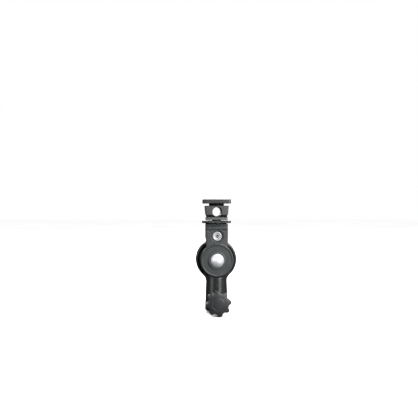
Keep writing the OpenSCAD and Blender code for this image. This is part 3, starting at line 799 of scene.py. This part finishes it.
COIL_R = 3.9
WIRE_R = 0.38
COIL_TURNS = 3.5
COIL_END = KEEPER_HEAD
COIL_START = WEB_Y + WEB_T


def coil_spring():
    """Round wire along a helix, flattened between the lever's pocket and the screw's head."""
    rings, sides, inset = 180, 12, WIRE_R + SPRING_GAP
    share = np.linspace(0, 1, rings)[:, None]
    around = 2 * math.pi * COIL_TURNS * share
    section = np.arange(sides) * 2 * math.pi / sides
    r = COIL_R + WIRE_R * np.cos(section)
    y = (COIL_START + inset + (COIL_END - COIL_START - 2 * inset) * share
         + WIRE_R * np.sin(section))
    points = np.stack((r * np.cos(around), y, r * np.sin(around) + PIVOT_Z), -1).reshape(-1, 3)
    faces = grid_faces(rings, sides)
    faces += [range(sides - 1, -1, -1), range((rings - 1) * sides, rings * sides)]
    made = piece("lever_coil", points, faces, "lever_nut", POLISHED,
                 ["lever_spring"])
    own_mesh(made)


coil_spring()


# ---------- stud and lock screw ----------

LOCK_R = LOCK_HI[0]
DOG_R = 1.0
STUD_R = STUD_HI[0]
STUD_WAIST = 3.4
STUD_PITCH = 1.5
LOCK_DISH_R, LOCK_DISH_DEPTH = 3.0, 0.4
LOCK_KEY, LOCK_KEY_DEPTH = 3, 2


def lock_shape(x, y, z):
    h = z - LOCK_Z
    r = np.hypot(x, h)
    foot = -TAPPED_R - 0.15
    made = disc(r, y, LOCK_R, LOCK_LO[1], foot, 0.55)
    made = join(0.2, made, disc(r, y, DOG_R, foot - 1, LOCK_HI[1], 0.15))
    made = cut(0.5, made, disc(r, y, LOCK_DISH_R, -FAR, LOCK_LO[1] + LOCK_DISH_DEPTH, 0.2))
    return cut(0.15, made, hexagon(x, h, LOCK_KEY, y - LOCK_LO[1] - LOCK_KEY_DEPTH))


shaped_piece("lock_screw", lock_shape, LOCK_LO, LOCK_HI, "arm", LOCK_STEEL,
             ["stud_lock_screw"], cell=0.16)

groove_lo, groove_hi = LOCK_Z - DOG_R - BORE_GAP, LOCK_Z + DOG_R + BORE_GAP
stud = np.concatenate((
    rounded([(0, STUD_LO[2]), (STUD_R - 0.3, STUD_LO[2]), (STUD_R, STUD_LO[2] + 0.25),
             (STUD_R, groove_lo), (STUD_WAIST, groove_lo), (STUD_WAIST, groove_hi),
             (STUD_R, groove_hi), (STUD_R, ARM_HI[2])], 0.1),
    rows(STUD_R, ARM_HI[2] + 0.1, STUD_HI[2] - 0.5, STUD_PITCH),
    rounded([(STUD_R, STUD_HI[2] - 0.5), (STUD_R - 0.5, STUD_HI[2]), (0, STUD_HI[2])], 0.1)))
turned_piece("stud", stud, (0, 0, 0), "z", "head", ZINC, ["head_stud"],
             radius=helix(STUD_R, 0.5, STUD_PITCH, ARM_HI[2], STUD_HI[2]))

washer("wheel_ring", "swivel_washer", STUD_R + 0.3, "wheel_washer", MOULDED,
       "z", 0.12)


# ---------- lock wheel ----------

KNURLS = 64
KNURL_DEPTH = 0.5


def knurled(angle, r, h):
    tooth = np.abs(fold(angle, KNURLS, 0)) * KNURLS / math.pi
    rim = np.clip((r - WHEEL_R + 1.2) / 0.9, 0, 1)
    return r - KNURL_DEPTH * rim * np.clip(1.3 * tooth - 0.15, 0, 1)


WHEEL_EDGE = 0.4
wheel_top, wheel_dish = WHEEL_HI[2], WHEEL_HI[2] - WHEEL_EDGE
wheel = [(TAPPED_R, WHEEL_LO[2]), (WHEEL_R - WHEEL_EDGE, WHEEL_LO[2]),
         (WHEEL_R, WHEEL_LO[2] + WHEEL_EDGE), (WHEEL_R, wheel_dish),
         (WHEEL_R - WHEEL_EDGE, wheel_top), (13.2, wheel_top), (13, wheel_dish),
         (9.2, wheel_dish), (9, wheel_top), (TAPPED_R, wheel_top)]
turned_piece("wheel_body", rounded(wheel, 0.15, closed=True), (0, 0, 0), "z", "wheel",
             WHEEL_BLACK, ["lock_wheel"], sides=KNURLS * 8, radius=knurled)


# ---------- head ----------

SCREW_X = 8.2
SCREW_Y = 6.4
SHOE_SCREW_X = 6.6
UMBRELLA_R = 4.8
UMBRELLA_LEAD = 0.5
SCREW_ROOM = 0.15
CAP_ROOM_R, CAP_ROOM_DEPTH = 2.4, 1.9
SET_HOLE_R = 2.55
HEAD_CORNER = 1.2
HEAD_TAPPED, SHOE_TAPPED = 5.6, 3.2
BLOCK_FOOT = 11.3
BLOCK_TOP = BLOCK_HI[0]
FRONT = BLOCK_HI[1]


def at_screws(x, y):
    return np.hypot(np.abs(x) - SCREW_X, np.abs(y) - SCREW_Y)


def at_shoe_screws(x, y):
    return np.hypot(np.abs(x) - SHOE_SCREW_X, y)


def umbrella_hole(x, y, z):
    wider = np.clip(UMBRELLA_LEAD - FRONT + np.abs(y), 0, 1)
    return np.hypot(x, z - SET_Z) - UMBRELLA_R - wider


def plate_shape(x, y, z):
    outline = slab(x, y, PLATE_HI[0], PLATE_HI[1], HEAD_CORNER)
    made = bevel(outline, span(z, PLATE_LO[2], PLATE_HI[2]), 0.35)
    made = cut(0.2, made, disc(np.hypot(x, y), z, TAPPED_R, 0, FAR))
    made = cut(0.1, made, at_screws(x, y) - M25_R - SCREW_ROOM + 0 * z)
    return cut(0.2, made, disc(at_screws(x, y), z, CAP_ROOM_R, 0, PLATE_LO[2] + CAP_ROOM_DEPTH))


shaped_piece("plate_body", plate_shape, PLATE_LO, PLATE_HI, "head", BAND_GREY,
             ["swivel_plate"], cell=0.27)


def pad_shape(x, y, z):
    rib = 0.11 * (1 - np.cos((z - PAD_LO[2]) / (PAD_HI[2] - PAD_LO[2]) * 6 * math.pi))
    outline = slab(x, y, PAD_HI[0], PAD_HI[1], HEAD_CORNER) + rib
    made = bevel(outline, span(z, PAD_LO[2], PAD_HI[2]), 0.25)
    made = cut(0.1, made, at_screws(x, y) - M25_R - SCREW_ROOM + 0 * z)
    return cut(0.1, made, umbrella_hole(x, y, z))


shaped_piece("pad_body", pad_shape, PAD_LO, PAD_HI, "head", RUBBER,
             ["grip_pad"], cell=0.24)


def block_shape(x, y, z):
    half = np.interp(z, (BLOCK_LO[2], BLOCK_HI[2]), (BLOCK_FOOT, BLOCK_TOP))
    made = bevel(bevel(np.abs(x) - half, np.abs(y) - FRONT, 0.6),
                 span(z, BLOCK_LO[2], BLOCK_HI[2]), 0.5)
    made = cut(0.2, made, umbrella_hole(x, y, z))
    made = cut(0.2, made, np.maximum(np.hypot(y, z - SET_Z) - SET_HOLE_R, -x))
    tapped = M25_R + BORE_GAP
    made = cut(0.1, made, disc(at_screws(x, y), z, tapped, 0, BLOCK_LO[2] + HEAD_TAPPED))
    return cut(0.1, made, disc(at_shoe_screws(x, y), z, tapped, BLOCK_HI[2] - SHOE_TAPPED, FAR))


shaped_piece("block_body", block_shape, BLOCK_LO, BLOCK_HI, "head",
             BLACK_ANODISED, ["umbrella_block"], cell=0.27)

CAP_LO, CAP_HI = corners("head_screws")
CAP_R, CAP_H = 2.2, 1.7
CAP_KEY, CAP_KEY_DEPTH = 2.2, 1


def cap_screws(x, y, z):
    r = at_screws(x, y)
    made = disc(r, z, CAP_R, CAP_LO[2], CAP_LO[2] + CAP_H, 0.3)
    made = np.minimum(made, disc(r, z, M25_R, CAP_LO[2] + 1, CAP_HI[2], 0.25))
    socket = hexagon(np.abs(x) - SCREW_X, np.abs(y) - SCREW_Y, CAP_KEY,
                     z - CAP_LO[2] - CAP_KEY_DEPTH)
    return cut(0.1, made, socket)


shaped_piece("cap_screws", cap_screws, CAP_LO, CAP_HI, "head", OXIDE,
             ["head_screws"], cell=0.22)


def spacer_shape(x, y, z):
    waist = 0.12 * np.exp(-((z - (SPACER_LO[2] + SPACER_HI[2]) / 2) / 0.25) ** 2)
    made = bevel(np.hypot(x, y) - SPACER_HI[0] + waist, span(z, SPACER_LO[2], SPACER_HI[2]), 0.25)
    return cut(0.1, made, at_shoe_screws(x, y) - M25_R - BORE_GAP + 0 * z)


shaped_piece("post_body", spacer_shape, SPACER_LO, SPACER_HI, "head",
             RUBBER, ["shoe_spacer"], cell=0.25)

SHOE_CORNER = 2.6
SHOE_FLOOR = SHOE_LO[2] + 1.2
CHANNEL_TOP = SHOE_FLOOR + 2.1
SHOE_STOP = SHOE_LO[0] + 2
CHANNEL_HALF = 9.4
MOUTH_HALF = 6.3
HEAD_SLOPE = 1.1


def shoe_shape(x, y, z):
    outline = slab(x, y, SHOE_HI[0], SHOE_HI[1], SHOE_CORNER)
    made = bevel(outline, span(z, SHOE_LO[2], SHOE_HI[2]), 0.35)
    channel = np.maximum(np.maximum(np.abs(y) - CHANNEL_HALF, span(z, SHOE_FLOOR, CHANNEL_TOP)),
                         SHOE_STOP - x)
    mouth = np.maximum(np.maximum(np.abs(y) - MOUTH_HALF, SHOE_FLOOR - z), SHOE_STOP - x)
    made = cut(0.15, made, channel)
    made = cut(0.3, made, mouth)
    sink = np.clip(z - SHOE_LO[2] - 0.2, 0, 1) * HEAD_SLOPE
    return cut(0.1, made, at_shoe_screws(x, y) - M25_R - BORE_GAP - sink)


shaped_piece("shoe_body", shoe_shape, SHOE_LO, SHOE_HI, "head", SHOE_BLACK,
             ["cold_shoe"], cell=0.27)

CROSS_LO, CROSS_HI = corners("shoe_screws")
CROSS_L, CROSS_W, CROSS_DEPTH = 1.3, 0.3, 0.6


def cross_screws(x, y, z):
    u = np.abs(x) - SHOE_SCREW_X
    r = np.hypot(u, y)
    taper = np.clip(z - SHOE_LO[2] - 0.25, 0, 1) * HEAD_SLOPE
    made = bevel(r - M25_R - taper, span(z, CROSS_LO[2], SHOE_FLOOR), 0.1)
    across = np.maximum(np.abs(u) - CROSS_L, np.abs(y) - CROSS_W)
    along = np.maximum(np.abs(u) - CROSS_W, np.abs(y) - CROSS_L)
    return cut(0.1, made, np.maximum(np.minimum(across, along), SHOE_FLOOR - CROSS_DEPTH - z))


shaped_piece("cross_screws", cross_screws, CROSS_LO, CROSS_HI, "head", OXIDE,
             ["shoe_screws"], cell=0.16)


# ---------- umbrella clamp ----------

SET_PITCH = 0.8
SET_THREAD_DEPTH = 0.3
SET_KEY, SET_KEY_DEPTH = 2.5, 2.2
PEG_HOLE_R, PEG_HOLE_DEPTH = 0.9, 1.7


def set_screw_shape(x, y, z):
    h = z - SET_Z
    r, angle = np.hypot(y, h), np.arctan2(h, y)
    turn = (x / SET_PITCH - angle / (2 * math.pi)) % 1
    valley = SET_THREAD_DEPTH * np.clip(1.3 * (1 - np.abs(2 * turn - 1)) - 0.25, 0, 1)
    made = bevel(r - SET_HI[1] + valley, span(x, SET_LO[0], SET_HI[0]), 0.25)
    made = cut(0.1, made, np.maximum(r - PEG_HOLE_R, x - SET_LO[0] - PEG_HOLE_DEPTH))
    return cut(0.1, made, hexagon(y, h, SET_KEY, SET_HI[0] - SET_KEY_DEPTH - x))


shaped_piece("set_screw", set_screw_shape, SET_LO, SET_HI, "umbrella_clamp_screw",
             OXIDE, ["umbrella_screw"], cell=0.13)

PRESS_LO, PRESS_HI = corners("umbrella_tip")
PRESS_DISC = PRESS_LO[0] + 1.2
PEG_R = 0.8
press = [(0, PRESS_LO[0]), (PRESS_HI[1], PRESS_LO[0]), (PRESS_HI[1], PRESS_DISC),
         (PEG_R, PRESS_DISC), (PEG_R, PRESS_HI[0]), (0, PRESS_HI[0])]
turned_piece("press_tip", rounded(press, 0.2), (0, 0, SET_Z), "x", "umbrella_clamp_tip",
             NYLON, ["umbrella_tip"], sides=64)


# ---------- carried-over node ----------

leaf_spring = NODES["shoe_spring"].data
leaf_spring.materials.clear()
leaf_spring.materials.append(POLISHED)


# ---------- stage, lights and camera ----------

def area_light(name, place, target, size, power):
    """Softbox facing a target; lengths in metres, power in watts, and the camera doesn't see it."""
    data = bpy.data.lights.new(name, "AREA")
    data.shape = "RECTANGLE"
    data.size, data.size_y = size
    data.energy = power
    made = bpy.data.objects.new(name, data)
    made.location = place
    made.rotation_euler = (Vector(target) - Vector(place)).to_track_quat("-Z", "Y").to_euler()
    made.visible_camera = False
    bpy.context.scene.collection.objects.link(made)


def sky_light(name, strength, spread):
    """Wide, even light from straight above; spread is in degrees."""
    data = bpy.data.lights.new(name, "SUN")
    data.energy = strength
    data.angle = math.radians(spread)
    bpy.context.scene.collection.objects.link(bpy.data.objects.new(name, data))


def pale_floor(height):
    """Floor at a height in metres, left out of the reflections and bounced light on the object."""
    made = Finish("floor", 0.7, specular=0.2)
    tone = made.ramp(made.noise(400, 3), 0, 1)
    # The floor's colour gets the same painted shade, darker where the object stands near it
    made.colour(made.mix(tone, linear(244, 244, 244), linear(250, 250, 250)))
    made.bump(made.noise(1.5, 2), 0.05)
    mesh = bpy.data.meshes.new("floor")
    reach = 4.0
    mesh.from_pydata([(-reach, -reach, height), (reach, -reach, height),
                      (reach, reach, height), (-reach, reach, height)], [], [(0, 1, 2, 3)])
    mesh.materials.append(made.material)
    made = bpy.data.objects.new("floor", mesh)
    bpy.context.scene.collection.objects.link(made)
    made.visible_glossy = False
    made.visible_diffuse = False


def white_surround(seen, felt):
    """White behind the object, and a dimmer light on it from all round."""
    world = bpy.data.worlds.new("surround")
    bpy.context.scene.world = world
    world.use_nodes = True
    nodes, links = world.node_tree.nodes, world.node_tree.links
    output = nodes["World Output"]
    dim = nodes["Background"]
    dim.inputs["Color"].default_value = (1, 1, 1, 1)
    dim.inputs["Strength"].default_value = felt
    bright = nodes.new("ShaderNodeBackground")
    bright.inputs["Color"].default_value = (1, 1, 1, 1)
    bright.inputs["Strength"].default_value = seen
    ray = nodes.new("ShaderNodeLightPath")
    pick = nodes.new("ShaderNodeMixShader")
    links.new(ray.outputs["Is Camera Ray"], pick.inputs["Fac"])
    links.new(dim.outputs["Background"], pick.inputs[1])
    links.new(bright.outputs["Background"], pick.inputs[2])
    links.new(pick.outputs["Shader"], output.inputs["Surface"])


def photo_camera():
    """Level with the umbrella hole and a little to the left of the object; lengths in metres."""
    distance = 0.47
    azimuth = math.radians(-4.0)
    above_pivot, left = 0.053, 0.0078
    data = bpy.data.cameras.new("camera")
    data.lens = 38.5
    data.dof.use_dof = False
    made = bpy.data.objects.new("camera", data)
    bpy.context.scene.collection.objects.link(made)
    back = Vector((math.sin(azimuth), -math.cos(azimuth), 0))
    right = Vector((math.cos(azimuth), math.sin(azimuth), 0))
    aim = Vector((0, 0, PIVOT_Z * MM + above_pivot)) - right * left
    made.location = aim + back * distance
    made.rotation_euler = (-back).to_track_quat("-Z", "Y").to_euler()
    bpy.context.scene.camera = made


bpy.context.scene.view_settings.view_transform = "Standard"
FLOOR_GAP = 0.0005
pale_floor(CAD_BOX[0].z - FLOOR_GAP)
white_surround(1.0, 0.14)
AIM = (0, 0, 0.06)
sky_light("overhead", 3.05, 50)
area_light("key", (0.50, -0.74, 0.34), AIM, (0.13, 0.75), 20)
area_light("near", (0.09, -0.13, 0.11), (0, -0.01, 0.06), (0.08, 0.12), 0.3)
area_light("fill", (-0.72, -0.50, 0.26), AIM, (0.32, 0.65), 8.5)
area_light("upper", (0.26, -0.22, 0.36), (0, -0.02, 0.03), (0.2, 0.2), 2.0)
area_light("rear", (-0.12, 0.75, 0.55), AIM, (0.6, 0.5), 13)
photo_camera()
